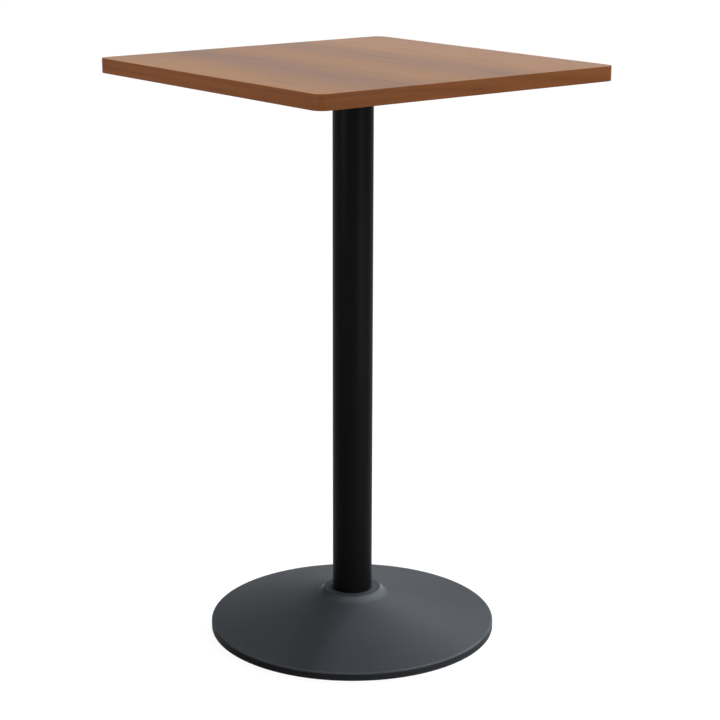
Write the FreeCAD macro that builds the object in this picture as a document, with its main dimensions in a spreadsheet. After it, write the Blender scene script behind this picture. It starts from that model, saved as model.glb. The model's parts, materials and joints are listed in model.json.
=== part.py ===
import FreeCAD
import Part
import Sketcher
import math
import os

# Pub table: a square laminate top on a four-arm spider, a round column and a round cast base.
# A tie rod clamps spider, column and base together. Four levelling glides carry the base.
# Millimetres, +Z up. The origin is on the floor, on the column's axis, and the sides of the
# top run along X and Y.

GLIDE_COUNT = 4
ARM_COUNT = 4
HEXAGON_SIDES = 6
# Half the width across a hexagon's flats, as a share of its corner radius.
HEXAGON_FLAT_SHARE = math.cos(math.pi / HEXAGON_SIDES)
FULL_TURN = 360.0
# Two places closer than this are the same place.
SAME_PLACE = 1e-6

SIZES = {
    # Whole table
    "table_height": 1100.0,
    "floor_gap": 5.0,
    # Top
    "top_side": 670.0,
    "top_corner_radius": 20.0,
    "core_thickness": 25.0,
    "laminate_thickness": 1.0,
    "backer_thickness": 1.0,
    "edge_band_thickness": 2.0,
    "edge_band_round": 1.0,
    "glue_line": 0.1,
    # Column
    "column_diameter": 76.0,
    "column_wall": 2.0,
    "socket_depth": 8.0,
    "socket_clearance": 0.3,
    # Base casting, outside
    "base_diameter": 550.0,
    "base_height": 75.0,
    "rim_height": 14.0,
    "rim_round": 3.0,
    "boss_diameter": 110.0,
    "boss_lip": 1.5,
    "boss_edge_round": 0.8,
    "cove_width": 16.0,
    "cove_height": 10.0,
    # Base casting, underside
    "rim_width": 12.0,
    "shell_wall": 8.0,
    "cavity_round": 5.0,
    "hub_diameter": 90.0,
    "hub_web": 30.0,
    "rib_thickness": 8.0,
    "glide_boss_diameter": 26.0,
    "cut_overrun": 10.0,
    # Tie rod, nuts and washers
    "rod_diameter": 12.0,
    "rod_chamfer": 1.0,
    "rod_hole_clearance": 0.75,
    "rod_projection": 3.0,
    "thread_clearance": 0.05,
    "nut_across_flats": 18.0,
    "nut_height": 10.0,
    "washer_diameter": 30.0,
    "washer_thickness": 2.5,
    "washer_clearance": 0.5,
    "lock_washer_diameter": 21.0,
    "lock_washer_thickness": 3.0,
    "lock_washer_slit": 2.0,
    # Spider
    "spider_angle": 45.0,
    "spider_reach": 190.0,
    "spider_hub_diameter": 96.0,
    "spider_web": 10.0,
    "nut_headroom": 2.0,
    "nut_pocket_clearance": 2.0,
    "arm_root_width": 46.0,
    "arm_tip_width": 30.0,
    "arm_tip_round": 10.0,
    "arm_thickness": 8.0,
    "gusset_thickness": 8.0,
    "gusset_depth": 16.0,
    "gusset_screw_gap": 6.0,
    # Wood screws
    "screw_diameter": 5.0,
    "screw_length": 20.0,
    "screw_point": 5.0,
    "screw_head_diameter": 10.0,
    "screw_head_height": 3.4,
    "screw_hole_clearance": 0.5,
    "pilot_clearance": 0.1,
    "pilot_spare_depth": 1.0,
    "screw_end_inset": 15.0,
    "screw_pitch": 60.0,
    "recess_span": 5.0,
    "recess_slot": 1.2,
    "recess_depth": 1.8,
    # Levelling glides
    "glide_inset": 55.0,
    "glide_thread_diameter": 8.0,
    "glide_thread_length": 14.0,
    "glide_thread_chamfer": 0.8,
    "glide_thread_clearance": 0.08,
    "glide_hole_spare_depth": 1.0,
    "glide_collar_across_flats": 13.0,
    "glide_collar_height": 3.0,
    "glide_running_gap": 0.3,
    "glide_neck_diameter": 4.0,
    "glide_ball_diameter": 6.0,
    "glide_ball_clearance": 0.1,
    "glide_foot_diameter": 32.0,
    "glide_foot_height": 7.0,
    "glide_foot_floor": 2.0,
    "glide_foot_edge": 1.0,
    "glide_foot_skirt": 3.5,
    "glide_foot_crown_diameter": 17.0,
}

# The nut's bevel starts at this share of the width across its flats.
NUT_BEVEL_SHARE = 0.95
NUT_BEVEL_ANGLE = 30.0
# The end of a screw's head, as a share of the head's width at its seat.
HEAD_CROWN_SHARE = 0.55

PLACES = {
    # Levels, from the floor up
    "rim_low": "sizes.floor_gap",
    "rim_top": "places.rim_low + sizes.rim_height",
    "boss_top": "places.rim_low + sizes.base_height",
    "lip_low": "places.boss_top - sizes.boss_lip",
    "cone_top": "places.lip_low - sizes.cove_height",
    "tube_low": "places.boss_top - sizes.socket_depth",
    "hub_low": "places.tube_low - sizes.hub_web",
    "lower_washer_low": "places.hub_low - sizes.washer_thickness",
    "lock_washer_low": "places.lower_washer_low - sizes.lock_washer_thickness",
    "lower_nut_low": "places.lock_washer_low - sizes.nut_height",
    "rod_low": "places.lower_nut_low - sizes.rod_projection",
    "laminate_low": "sizes.table_height - sizes.laminate_thickness",
    "core_low": "places.laminate_low - sizes.core_thickness",
    "top_low": "places.core_low - sizes.backer_thickness",
    "arm_low": "places.top_low - sizes.arm_thickness",
    "rod_top": "places.top_low - sizes.nut_headroom",
    "upper_nut_low": "places.rod_top - sizes.rod_projection - sizes.nut_height",
    "upper_washer_low": "places.upper_nut_low - sizes.washer_thickness",
    "tube_top": "places.upper_washer_low - sizes.spider_web",
    "spider_low": "places.tube_top - sizes.socket_depth",
    "spider_height": "places.top_low - places.spider_low",
    # Base casting
    "rim_radius": "sizes.base_diameter / 2",
    "boss_radius": "sizes.boss_diameter / 2",
    "socket_radius": "sizes.column_diameter / 2 + sizes.socket_clearance",
    "rod_hole_radius": "sizes.rod_diameter / 2 + sizes.rod_hole_clearance",
    "cone_top_radius": "places.boss_radius + sizes.cove_width",
    "cone_slope": "(places.cone_top - places.rim_top) / (places.rim_radius - places.cone_top_radius)",
    "cone_angle": "atan(places.cone_slope)",
    # The cove leaves the cone smoothly: this is how far its upper end stands off the cone's line.
    "cove_offset": "sizes.cove_height * cos(places.cone_angle) - sizes.cove_width * sin(places.cone_angle)",
    "cove_radius": "(sizes.cove_width ^ 2 + sizes.cove_height ^ 2) / (2 * places.cove_offset)",
    "cavity_low": "places.rim_low - sizes.cut_overrun",
    "cavity_radius": "places.rim_radius - sizes.rim_width",
    "hub_radius": "sizes.hub_diameter / 2",
    "ceiling_at_rim": "places.rim_top + sizes.rim_width * places.cone_slope - sizes.shell_wall",
    "ceiling_span": "places.cavity_radius - places.hub_radius",
    "ceiling_at_hub": "places.ceiling_at_rim + places.ceiling_span * places.cone_slope",
    # Top
    "band_opening": "sizes.top_side - 2 * sizes.edge_band_thickness",
    "band_opening_radius": "sizes.top_corner_radius - sizes.edge_band_thickness",
    "sheet_side": "places.band_opening - 2 * sizes.glue_line",
    "sheet_radius": "places.band_opening_radius - sizes.glue_line",
    "top_thickness": "sizes.table_height - places.top_low",
    # Nuts and washers
    "nut_radius": f"sizes.nut_across_flats / 2 / {HEXAGON_FLAT_SHARE}",
    "thread_radius": "sizes.rod_diameter / 2 + sizes.thread_clearance",
    "washer_hole_radius": "sizes.rod_diameter / 2 + sizes.washer_clearance",
    # Spider and screws
    "nut_pocket_radius": "sizes.washer_diameter / 2 + sizes.nut_pocket_clearance",
    "spider_hub_radius": "sizes.spider_hub_diameter / 2",
    "arm_start": "(places.nut_pocket_radius + places.spider_hub_radius) / 2",
    "screw_far_radius": "sizes.spider_reach - sizes.screw_end_inset",
    "screw_near_radius": "places.screw_far_radius - sizes.screw_pitch",
    "gusset_end": "places.screw_near_radius - sizes.screw_head_diameter / 2 - sizes.gusset_screw_gap",
    "screw_bite": "sizes.screw_length - sizes.arm_thickness - sizes.backer_thickness",
    "pilot_radius": "sizes.screw_diameter / 2 + sizes.pilot_clearance",
    # Glides
    "glide_circle": "places.rim_radius - sizes.glide_inset",
    "collar_radius": f"sizes.glide_collar_across_flats / 2 / {HEXAGON_FLAT_SHARE}",
    "ball_radius": "sizes.glide_ball_diameter / 2",
    "ball_socket_radius": "places.ball_radius + sizes.glide_ball_clearance",
    "ball_height": "sizes.glide_foot_floor + places.ball_socket_radius",
    "collar_low": "sizes.glide_foot_height + sizes.glide_running_gap",
    "collar_top": "places.collar_low + sizes.glide_collar_height",
    "glide_boss_low": "places.collar_top + sizes.glide_running_gap",
    "thread_top": "places.glide_boss_low + sizes.glide_thread_length",
    "tapped_hole_top": "places.thread_top + sizes.glide_hole_spare_depth",
}

doc = FreeCAD.newDocument("pub_table")
sizes = doc.addObject("Spreadsheet::Sheet", "sizes")
places = doc.addObject("Spreadsheet::Sheet", "places")
nodes = []


def fill_sheet(sheet, cells):
    """Write one named cell per row: the name in column A, the content in column B."""
    for row, (alias, content) in enumerate(cells.items(), start=1):
        sheet.set(f"A{row}", alias)
        sheet.set(f"B{row}", content)
        sheet.setAlias(f"B{row}", alias)


def value_of(expression):
    """The number that an expression over the two sheets gives now."""
    return float(sizes.evalExpression(expression))


def bind(thing, **expressions):
    """Bind properties to expressions; a double underscore in a name stands for a dot."""
    for name, expression in expressions.items():
        thing.setExpression(name.replace("__", "."), expression)


def keep(thing, name):
    """Make an object a node of the table, under its own name."""
    thing.Label = name
    nodes.append(thing)
    return thing


def around(radius, angle):
    """X and Y expressions of a point at a radius expression and an angle expression."""
    return f"{radius} * cos({angle})", f"{radius} * sin({angle})"


def new_body(name, x="0", y="0", z="0"):
    """A body whose origin stands at the given expressions."""
    body = doc.addObject("PartDesign::Body", name)
    bind(body, Placement__Base__x=x, Placement__Base__y=y, Placement__Base__z=z)
    return body


def new_sketch(body, name, role="XY_Plane", height="0"):
    """A sketch on one of the body's own origin planes, lifted off it by the height expression."""
    sketch = body.newObject("Sketcher::SketchObject", name)
    plane = next(item for item in body.Origin.OriginFeatures if item.Role == role)
    sketch.AttachmentSupport = [(plane, "")]
    sketch.MapMode = "FlatFace"
    bind(sketch, AttachmentOffset__Base__z=height)
    return sketch


def pin_point(sketch, geometry, point, x, y):
    """Hold a point of the sketch at two expressions, measured from the sketch's origin."""
    for kind, axis, expression in (("DistanceX", -2, x), ("DistanceY", -1, y)):
        distance = value_of(expression)
        if abs(distance) < SAME_PLACE:
            sketch.addConstraint(Sketcher.Constraint("PointOnObject", geometry, point, axis))
            continue
        number = sketch.addConstraint(Sketcher.Constraint(kind, -1, 1, geometry, point, distance))
        sketch.setExpression(f"Constraints[{number}]", expression)


def hollow_arc(start, end, radius):
    """The short arc between two points whose centre lies to the right of the way from start to end."""
    chord = end - start
    to_right = FreeCAD.Vector(chord.y, -chord.x, 0).normalize()
    rise = radius - math.sqrt(radius ** 2 - (chord.Length / 2) ** 2)
    return Part.Arc(start, (start + end) / 2 - to_right * rise, end)


def add_outline(sketch, corners, arcs=None):
    """A closed outline through corners given as pairs of expressions.

    Its sides are straight, but a corner that arcs names starts a hollow arc of that radius expression.
    """
    arcs = arcs or {}
    points = [FreeCAD.Vector(value_of(x), value_of(y), 0) for x, y in corners]
    first = sketch.GeometryCount
    count = len(points)
    for index, start in enumerate(points):
        end = points[(index + 1) % count]
        if index in arcs:
            sketch.addGeometry(hollow_arc(start, end, value_of(arcs[index])), False)
        else:
            sketch.addGeometry(Part.LineSegment(start, end), False)
    # A sketch counts an arc's ends against the clock, so a hollow arc here runs from its second end.
    starts = [2 if index in arcs else 1 for index in range(count)]
    for index, (x, y) in enumerate(corners):
        following = (index + 1) % count
        end = 3 - starts[index]
        sketch.addConstraint(
            Sketcher.Constraint("Coincident", first + index, end, first + following, starts[following]))
        pin_point(sketch, first + index, starts[index], x, y)
    for index, radius in arcs.items():
        number = sketch.addConstraint(Sketcher.Constraint("Radius", first + index, value_of(radius)))
        sketch.setExpression(f"Constraints[{number}]", radius)


def add_rectangle(sketch, width, depth):
    """A rectangle centred on the sketch's origin."""
    half_width = f"({width}) / 2"
    half_depth = f"({depth}) / 2"
    add_outline(sketch, [
        (f"-{half_width}", f"-{half_depth}"),
        (half_width, f"-{half_depth}"),
        (half_width, half_depth),
        (f"-{half_width}", half_depth),
    ])


def add_circle(sketch, radius, x="0", y="0"):
    """A circle whose radius and centre are expressions."""
    centre = FreeCAD.Vector(value_of(x), value_of(y), 0)
    upward = FreeCAD.Vector(0, 0, 1)
    number = sketch.addGeometry(Part.Circle(centre, upward, value_of(radius)), False)
    pin_point(sketch, number, 3, x, y)
    size = sketch.addConstraint(Sketcher.Constraint("Radius", number, value_of(radius)))
    sketch.setExpression(f"Constraints[{size}]", radius)


def add_feature(body, kind, name, sketch, reverse=False, **expressions):
    """A sketch-based feature of the body, with its sizes bound, recomputed so others can read it."""
    feature = body.newObject(f"PartDesign::{kind}", name)
    feature.Profile = sketch
    feature.Reversed = reverse
    bind(feature, **expressions)
    doc.recompute()
    return feature


def revolve(body, name, corners, arcs=None):
    """A full turn of an outline in radius and height about the body's Z axis."""
    sketch = new_sketch(body, f"{name}_outline", "XZ_Plane")
    add_outline(sketch, corners, arcs)
    feature = body.newObject("PartDesign::Revolution", name)
    feature.Profile = sketch
    feature.ReferenceAxis = (sketch, ["V_Axis"])
    feature.Angle = FULL_TURN
    doc.recompute()
    return feature


def cut_with(body, name, sketch, reverse=False, symmetric=False, **expressions):
    """A pocket that must take some material away."""
    before = body.Tip.Shape.Volume
    feature = add_feature(body, "Pocket", name, sketch, reverse, **expressions)
    if symmetric:
        feature.SideType = "Symmetric"
        doc.recompute()
    if feature.Shape.Volume >= before:
        raise RuntimeError(f"{name} cuts nothing")
    return feature


def repeat_around(body, name, originals, count):
    """Repeat features evenly around the body's Z axis."""
    pattern = body.newObject("PartDesign::PolarPattern", name)
    pattern.Originals = originals
    axis = next(item for item in body.Origin.OriginFeatures if item.Role == "Z_Axis")
    pattern.Axis = (axis, [""])
    pattern.Angle = FULL_TURN
    pattern.Occurrences = count
    body.Tip = pattern
    doc.recompute()
    return pattern


def dress_edges(body, kind, name, edges, **expressions):
    """A fillet or chamfer on named edges of the body's tip."""
    dressed = body.Tip
    feature = body.newObject(f"PartDesign::{kind}", name)
    feature.Base = (dressed, edges)
    bind(feature, **expressions)
    doc.recompute()
    return feature


def edges_where(body, wanted):
    """Names of the edges of the body's tip that a test accepts."""
    edges = body.Tip.Shape.Edges
    return [f"Edge{number}" for number, edge in enumerate(edges, start=1) if wanted(edge)]


def ring_edges(body, radius, height):
    """Names of the tip's circular edges about Z with this radius at this height."""
    ring_radius = value_of(radius)
    ring_height = value_of(height)

    def on_ring(edge):
        if not isinstance(edge.Curve, Part.Circle):
            return False
        same_radius = abs(edge.Curve.Radius - ring_radius) < SAME_PLACE
        return same_radius and abs(edge.Curve.Center.z - ring_height) < SAME_PLACE

    return edges_where(body, on_ring)


def upright_edges(body, reach=None):
    """Names of the tip's straight edges along Z, all of them or those at a distance from Z."""
    distance = None if reach is None else value_of(reach)

    def upright(edge):
        start = edge.Vertexes[0].Point
        end = edge.Vertexes[-1].Point
        if abs(start.x - end.x) > SAME_PLACE or abs(start.y - end.y) > SAME_PLACE:
            return False
        if not isinstance(edge.Curve, Part.Line):
            return False
        if distance is None:
            return True
        return abs((start.x ** 2 + start.y ** 2) ** 0.5 - distance) < SAME_PLACE

    return edges_where(body, upright)


def screw_places():
    """Expressions for the radius and angle of each wood screw."""
    for arm in range(ARM_COUNT):
        angle = f"(sizes.spider_angle + {arm} * {FULL_TURN} / {ARM_COUNT})"
        for radius in ("places.screw_near_radius", "places.screw_far_radius"):
            yield radius, angle


def add_pilot_holes(body, depth):
    """Pilot holes for the wood screws, upward from the body's lower face."""
    sketch = new_sketch(body, f"{body.Name}_pilot_circles")
    for radius, angle in screw_places():
        add_circle(sketch, "places.pilot_radius", *around(radius, angle))
    cut_with(body, f"{body.Name}_pilot_holes", sketch, reverse=True, Length=depth)


def square_sheet(name, side, corner_radius, thickness, z):
    """A square sheet with rounded corners, centred on the column's axis."""
    body = new_body(name, z=z)
    sketch = new_sketch(body, f"{name}_square")
    add_rectangle(sketch, side, side)
    add_feature(body, "Pad", f"{name}_sheet", sketch, Length=thickness)
    dress_edges(body, "Fillet", f"{name}_corners", upright_edges(body), Radius=corner_radius)
    return body


def make_sheets():
    """Core, face laminate and balancing sheet of the top, pressed together."""
    plan = ("places.sheet_side", "places.sheet_radius")
    core = square_sheet("top_core", *plan, "sizes.core_thickness", "places.core_low")
    add_pilot_holes(core, "places.screw_bite + sizes.pilot_spare_depth")
    keep(core, "top_core")
    laminate = square_sheet("top_laminate", *plan, "sizes.laminate_thickness", "places.laminate_low")
    keep(laminate, "top_laminate")
    backer = square_sheet("backer_sheet", *plan, "sizes.backer_thickness", "places.top_low")
    add_pilot_holes(backer, "sizes.backer_thickness")
    keep(backer, "backer_sheet")


def make_edge_band():
    """The band round the top, with its outer edges eased."""
    blank = square_sheet("edge_band_blank", "sizes.top_side", "sizes.top_corner_radius",
                         "places.top_thickness", "places.top_low")

    def level(edge):
        return edge.BoundBox.ZLength < SAME_PLACE

    dress_edges(blank, "Fillet", "edge_band_rims", edges_where(blank, level),
                Radius="sizes.edge_band_round")
    opening = square_sheet("edge_band_opening", "places.band_opening", "places.band_opening_radius",
                           "places.top_thickness", "places.top_low")
    band = doc.addObject("Part::Cut", "edge_band")
    band.Base = blank
    band.Tool = opening
    keep(band, "edge_band")


def ring(name, outer_radius, inner_radius, thickness, z):
    """A flat ring or a tube about the column's axis."""
    body = new_body(name, z=z)
    sketch = new_sketch(body, f"{name}_circles")
    add_circle(sketch, outer_radius)
    add_circle(sketch, inner_radius)
    add_feature(body, "Pad", f"{name}_ring", sketch, Length=thickness)
    return keep(body, name)


def add_hexagon(sketch, radius):
    """A regular hexagon about the sketch's origin, given by its corner radius."""
    add_outline(sketch, [
        around(radius, f"({side} * {FULL_TURN} / {HEXAGON_SIDES})") for side in range(HEXAGON_SIDES)
    ])


def nut(name, z):
    """A hexagonal nut on the tie rod, bevelled at its lower end."""
    body = new_body(name, z=z)
    hexagon = new_sketch(body, f"{name}_hexagon")
    add_hexagon(hexagon, "places.nut_radius")
    add_circle(hexagon, "places.thread_radius")
    add_feature(body, "Pad", f"{name}_block", hexagon, Length="sizes.nut_height")
    bevel = new_sketch(body, f"{name}_bevel_outline", "XZ_Plane")
    bevel_start = f"sizes.nut_across_flats / 2 * {NUT_BEVEL_SHARE}"
    outside = "places.nut_radius + sizes.cut_overrun"
    outside_rise = f"({outside} - {bevel_start}) * tan({NUT_BEVEL_ANGLE})"
    add_outline(bevel, [(bevel_start, "0"), (outside, "0"), (outside, outside_rise)])
    groove = body.newObject("PartDesign::Groove", f"{name}_bevel")
    groove.Profile = bevel
    groove.ReferenceAxis = (bevel, ["V_Axis"])
    groove.Angle = FULL_TURN
    doc.recompute()
    return keep(body, name)


def make_tie_rod():
    """The tie rod with its nuts and washers."""
    body = new_body("tie_rod", z="places.rod_low")
    sketch = new_sketch(body, "tie_rod_circle")
    add_circle(sketch, "sizes.rod_diameter / 2")
    add_feature(body, "Pad", "tie_rod_bar", sketch, Length="places.rod_top - places.rod_low")
    ends = edges_where(body, lambda edge: isinstance(edge.Curve, Part.Circle))
    dress_edges(body, "Chamfer", "tie_rod_ends", ends, Size="sizes.rod_chamfer")
    keep(body, "tie_rod")

    for name in ("upper_washer", "lower_washer"):
        ring(name, "sizes.washer_diameter / 2", "places.washer_hole_radius", "sizes.washer_thickness",
             f"places.{name}_low")
    lock = ring("lower_lock_washer", "sizes.lock_washer_diameter / 2", "places.washer_hole_radius",
                "sizes.lock_washer_thickness", "places.lock_washer_low")
    slit = new_sketch(lock, "lock_washer_slit_outline")
    half_slit = "sizes.lock_washer_slit / 2"
    add_outline(slit, [
        ("0", f"-{half_slit}"),
        ("sizes.lock_washer_diameter", f"-{half_slit}"),
        ("sizes.lock_washer_diameter", half_slit),
        ("0", half_slit),
    ])
    cut_with(lock, "lock_washer_slit", slit, reverse=True, Length="sizes.lock_washer_thickness")
    for name in ("upper_nut", "lower_nut"):
        nut(name, f"places.{name}_low")


def make_column():
    """The column's tube, seated in the sockets of the base and the spider."""
    ring("column_tube", "sizes.column_diameter / 2", "sizes.column_diameter / 2 - sizes.column_wall",
         "places.tube_top - places.tube_low", "places.tube_low")


def base_outside():
    """The base without its underside: rim, cone, cove and boss with the column's socket."""
    body = new_body("base_outside")
    outline = [
        ("places.rod_hole_radius", "places.rim_low"),
        ("places.rim_radius", "places.rim_low"),
        ("places.rim_radius", "places.rim_top"),
        ("places.cone_top_radius", "places.cone_top"),
        ("places.boss_radius", "places.lip_low"),
        ("places.boss_radius", "places.boss_top"),
        ("places.socket_radius", "places.boss_top"),
        ("places.socket_radius", "places.tube_low"),
        ("places.rod_hole_radius", "places.tube_low"),
    ]
    cove_start = outline.index(("places.cone_top_radius", "places.cone_top"))
    revolve(body, "base_turning", outline, {cove_start: "places.cove_radius"})
    rounds = (
        ("rim_edge", "places.rim_radius", "places.rim_top", "sizes.rim_round"),
        ("boss_edge", "places.boss_radius", "places.boss_top", "sizes.boss_edge_round"),
    )
    for name, radius, height, size in rounds:
        dress_edges(body, "Fillet", name, ring_edges(body, radius, height), Radius=size)
    return body


def base_cavity():
    """The hollow under the base, less the ribs and the glides' bosses that stand in it."""
    body = new_body("base_cavity")
    revolve(body, "cavity_turning", [
        ("0", "places.cavity_low"),
        ("places.cavity_radius", "places.cavity_low"),
        ("places.cavity_radius", "places.ceiling_at_rim"),
        ("places.hub_radius", "places.ceiling_at_hub"),
        ("places.hub_radius", "places.hub_low"),
        ("0", "places.hub_low"),
    ])
    corners = ring_edges(body, "places.cavity_radius", "places.ceiling_at_rim")
    corners += ring_edges(body, "places.hub_radius", "places.ceiling_at_hub")
    dress_edges(body, "Fillet", "cavity_corners", corners, Radius="sizes.cavity_round")

    rib = new_sketch(body, "rib_outline", "XZ_Plane")
    add_outline(rib, [
        ("0", "places.hub_low"),
        ("places.hub_radius", "places.hub_low"),
        ("places.glide_circle", "places.glide_boss_low"),
        ("places.glide_circle", "places.boss_top"),
        ("0", "places.boss_top"),
    ])
    rib_room = cut_with(body, "rib_room", rib, symmetric=True, Length="sizes.rib_thickness")
    repeat_around(body, "rib_rooms", [rib_room], GLIDE_COUNT)
    boss = new_sketch(body, "glide_boss_circle", height="places.glide_boss_low")
    add_circle(boss, "sizes.glide_boss_diameter / 2", "places.glide_circle", "0")
    boss_room = cut_with(body, "boss_room", boss, reverse=True,
                         Length="places.boss_top - places.glide_boss_low")
    repeat_around(body, "boss_rooms", [boss_room], GLIDE_COUNT)
    return body


def glide_angle(number):
    """Angle expression of a glide, counted from one, with the first on the X axis."""
    return f"({number - 1} * {FULL_TURN} / {GLIDE_COUNT})"


def cylinder(name, radius, low, high, x="0", y="0"):
    """An upright cylinder between two level expressions."""
    shape = doc.addObject("Part::Cylinder", name)
    bind(shape, Radius=radius, Height=f"{high} - ({low})",
         Placement__Base__x=x, Placement__Base__y=y, Placement__Base__z=low)
    return shape


def make_base():
    """The cast base: its outside less its hollow and the glides' tapped holes."""
    holes = []
    for number in range(1, GLIDE_COUNT + 1):
        x, y = around("places.glide_circle", glide_angle(number))
        holes.append(cylinder(f"tapped_hole_{number}",
                              "sizes.glide_thread_diameter / 2 + sizes.glide_thread_clearance",
                              "places.glide_boss_low - sizes.glide_running_gap",
                              "places.tapped_hole_top", x, y))
    hollows = doc.addObject("Part::MultiFuse", "base_hollows")
    hollows.Shapes = [base_cavity()] + holes
    casting = doc.addObject("Part::Cut", "base_casting")
    casting.Base = base_outside()
    casting.Tool = hollows
    keep(casting, "base_casting")


def make_spider():
    """The cast spider: a hub with the column's socket and a nut pocket, and four drilled arms."""
    body = new_body("spider", z="places.spider_low")
    bind(body, Placement__Rotation__Angle="sizes.spider_angle")
    web_top = "sizes.socket_depth + sizes.spider_web"
    revolve(body, "spider_hub", [
        ("places.rod_hole_radius", "sizes.socket_depth"),
        ("places.socket_radius", "sizes.socket_depth"),
        ("places.socket_radius", "0"),
        ("places.spider_hub_radius", "0"),
        ("places.spider_hub_radius", "places.spider_height"),
        ("places.nut_pocket_radius", "places.spider_height"),
        ("places.nut_pocket_radius", web_top),
        ("places.rod_hole_radius", web_top),
    ])
    plan = new_sketch(body, "arm_outline", height="places.spider_height")
    half_root = "sizes.arm_root_width / 2"
    half_tip = "sizes.arm_tip_width / 2"
    add_outline(plan, [
        ("places.arm_start", f"-{half_root}"),
        ("sizes.spider_reach", f"-{half_tip}"),
        ("sizes.spider_reach", half_tip),
        ("places.arm_start", half_root),
    ])
    arm = add_feature(body, "Pad", "arm", plan, reverse=True, Length="sizes.arm_thickness")
    side = new_sketch(body, "gusset_outline", "XZ_Plane")
    arm_underside = "places.spider_height - sizes.arm_thickness"
    add_outline(side, [
        ("places.arm_start", arm_underside),
        ("places.arm_start", f"{arm_underside} - sizes.gusset_depth"),
        ("places.spider_hub_radius", f"{arm_underside} - sizes.gusset_depth"),
        ("places.gusset_end", arm_underside),
    ])
    gusset = add_feature(body, "Pad", "gusset", side, Length="sizes.gusset_thickness")
    gusset.SideType = "Symmetric"
    drilling = new_sketch(body, "screw_hole_circles", height="places.spider_height")
    for radius in ("places.screw_near_radius", "places.screw_far_radius"):
        add_circle(drilling, "sizes.screw_diameter / 2 + sizes.screw_hole_clearance", radius)
    holes = cut_with(body, "screw_holes", drilling, Length="sizes.arm_thickness")
    repeat_around(body, "arms", [arm, gusset, holes], ARM_COUNT)
    tip_reach = f"sqrt(sizes.spider_reach ^ 2 + ({half_tip}) ^ 2)"
    dress_edges(body, "Fillet", "arm_tips", upright_edges(body, tip_reach), Radius="sizes.arm_tip_round")
    keep(body, "spider")


def wood_screw(number, radius, angle):
    """A pan-head wood screw that points up into the core, with a cross recess in its head."""
    name = f"wood_screw_{number}"
    x, y = around(radius, angle)
    body = new_body(name, x, y, "places.arm_low - sizes.screw_head_height")
    shank = "sizes.screw_diameter / 2"
    tip = "sizes.screw_head_height + sizes.screw_length"
    revolve(body, f"{name}_turning", [
        ("0", "0"),
        (f"sizes.screw_head_diameter / 2 * {HEAD_CROWN_SHARE}", "0"),
        ("sizes.screw_head_diameter / 2", "sizes.screw_head_height / 2"),
        ("sizes.screw_head_diameter / 2", "sizes.screw_head_height"),
        (shank, "sizes.screw_head_height"),
        (shank, f"{tip} - sizes.screw_point"),
        ("0", tip),
    ])
    cross = new_sketch(body, f"{name}_cross")
    arm = "sizes.recess_span / 2"
    slot = "sizes.recess_slot / 2"
    add_outline(cross, [
        (arm, f"-{slot}"), (arm, slot), (slot, slot), (slot, arm), (f"-{slot}", arm), (f"-{slot}", slot),
        (f"-{arm}", slot), (f"-{arm}", f"-{slot}"), (f"-{slot}", f"-{slot}"), (f"-{slot}", f"-{arm}"),
        (slot, f"-{arm}"), (slot, f"-{slot}"),
    ])
    cut_with(body, f"{name}_recess", cross, reverse=True, Length="sizes.recess_depth")
    return body


def make_screws():
    """All the wood screws, as one group of separate solids."""
    group = doc.addObject("Part::Compound", "top_screws")
    group.Links = [
        wood_screw(number, radius, angle) for number, (radius, angle) in enumerate(screw_places(), start=1)
    ]
    keep(group, "top_screws")


def glide_stem(number):
    """A glide's threaded stem with a hexagonal collar, a neck and a ball end."""
    name = f"glide_stem_{number}"
    x, y = around("places.glide_circle", glide_angle(number))
    body = new_body(f"{name}_turned", x, y)
    thread = "sizes.glide_thread_diameter / 2"
    neck = "sizes.glide_neck_diameter / 2"
    revolve(body, f"{name}_turning", [
        ("0", "places.ball_height"),
        (neck, "places.ball_height"),
        (neck, "places.collar_low"),
        (thread, "places.collar_low"),
        (thread, "places.thread_top - sizes.glide_thread_chamfer"),
        (f"{thread} - sizes.glide_thread_chamfer", "places.thread_top"),
        ("0", "places.thread_top"),
    ])
    collar = new_sketch(body, f"{name}_hexagon", height="places.collar_low")
    add_hexagon(collar, "places.collar_radius")
    add_feature(body, "Pad", f"{name}_collar", collar, Length="sizes.glide_collar_height")
    ball = doc.addObject("Part::Sphere", f"{name}_ball")
    bind(ball, Radius="places.ball_radius",
         Placement__Base__x=x, Placement__Base__y=y, Placement__Base__z="places.ball_height")
    stem = doc.addObject("Part::Fuse", name)
    stem.Base = body
    stem.Tool = ball
    keep(stem, name)


def glide_foot(number):
    """A glide's round foot with the socket that clips on the stem's ball."""
    name = f"glide_foot_{number}"
    x, y = around("places.glide_circle", glide_angle(number))
    body = new_body(f"{name}_blank", x, y)
    foot = "sizes.glide_foot_diameter / 2"
    revolve(body, f"{name}_turning", [
        ("0", "0"),
        (f"{foot} - sizes.glide_foot_edge", "0"),
        (foot, "sizes.glide_foot_edge"),
        (foot, "sizes.glide_foot_skirt"),
        ("sizes.glide_foot_crown_diameter / 2", "sizes.glide_foot_height"),
        ("0", "sizes.glide_foot_height"),
    ])
    socket = doc.addObject("Part::Sphere", f"{name}_socket")
    bind(socket, Radius="places.ball_socket_radius",
         Placement__Base__x=x, Placement__Base__y=y, Placement__Base__z="places.ball_height")
    cut = doc.addObject("Part::Cut", name)
    cut.Base = body
    cut.Tool = socket
    keep(cut, name)


def make_glides():
    """The levelling glides under the base."""
    for number in range(1, GLIDE_COUNT + 1):
        glide_stem(number)
        glide_foot(number)


def check_document():
    """Stop if any object failed, or if a node's shape is missing or broken."""
    for thing in doc.Objects:
        if "Invalid" in thing.State or "Error" in thing.State:
            raise RuntimeError(f"{thing.Name} failed: {thing.State}")
    for node in nodes:
        if node.Shape.isNull() or not node.Shape.isValid():
            raise RuntimeError(f"{node.Label} has no valid shape")


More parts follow.
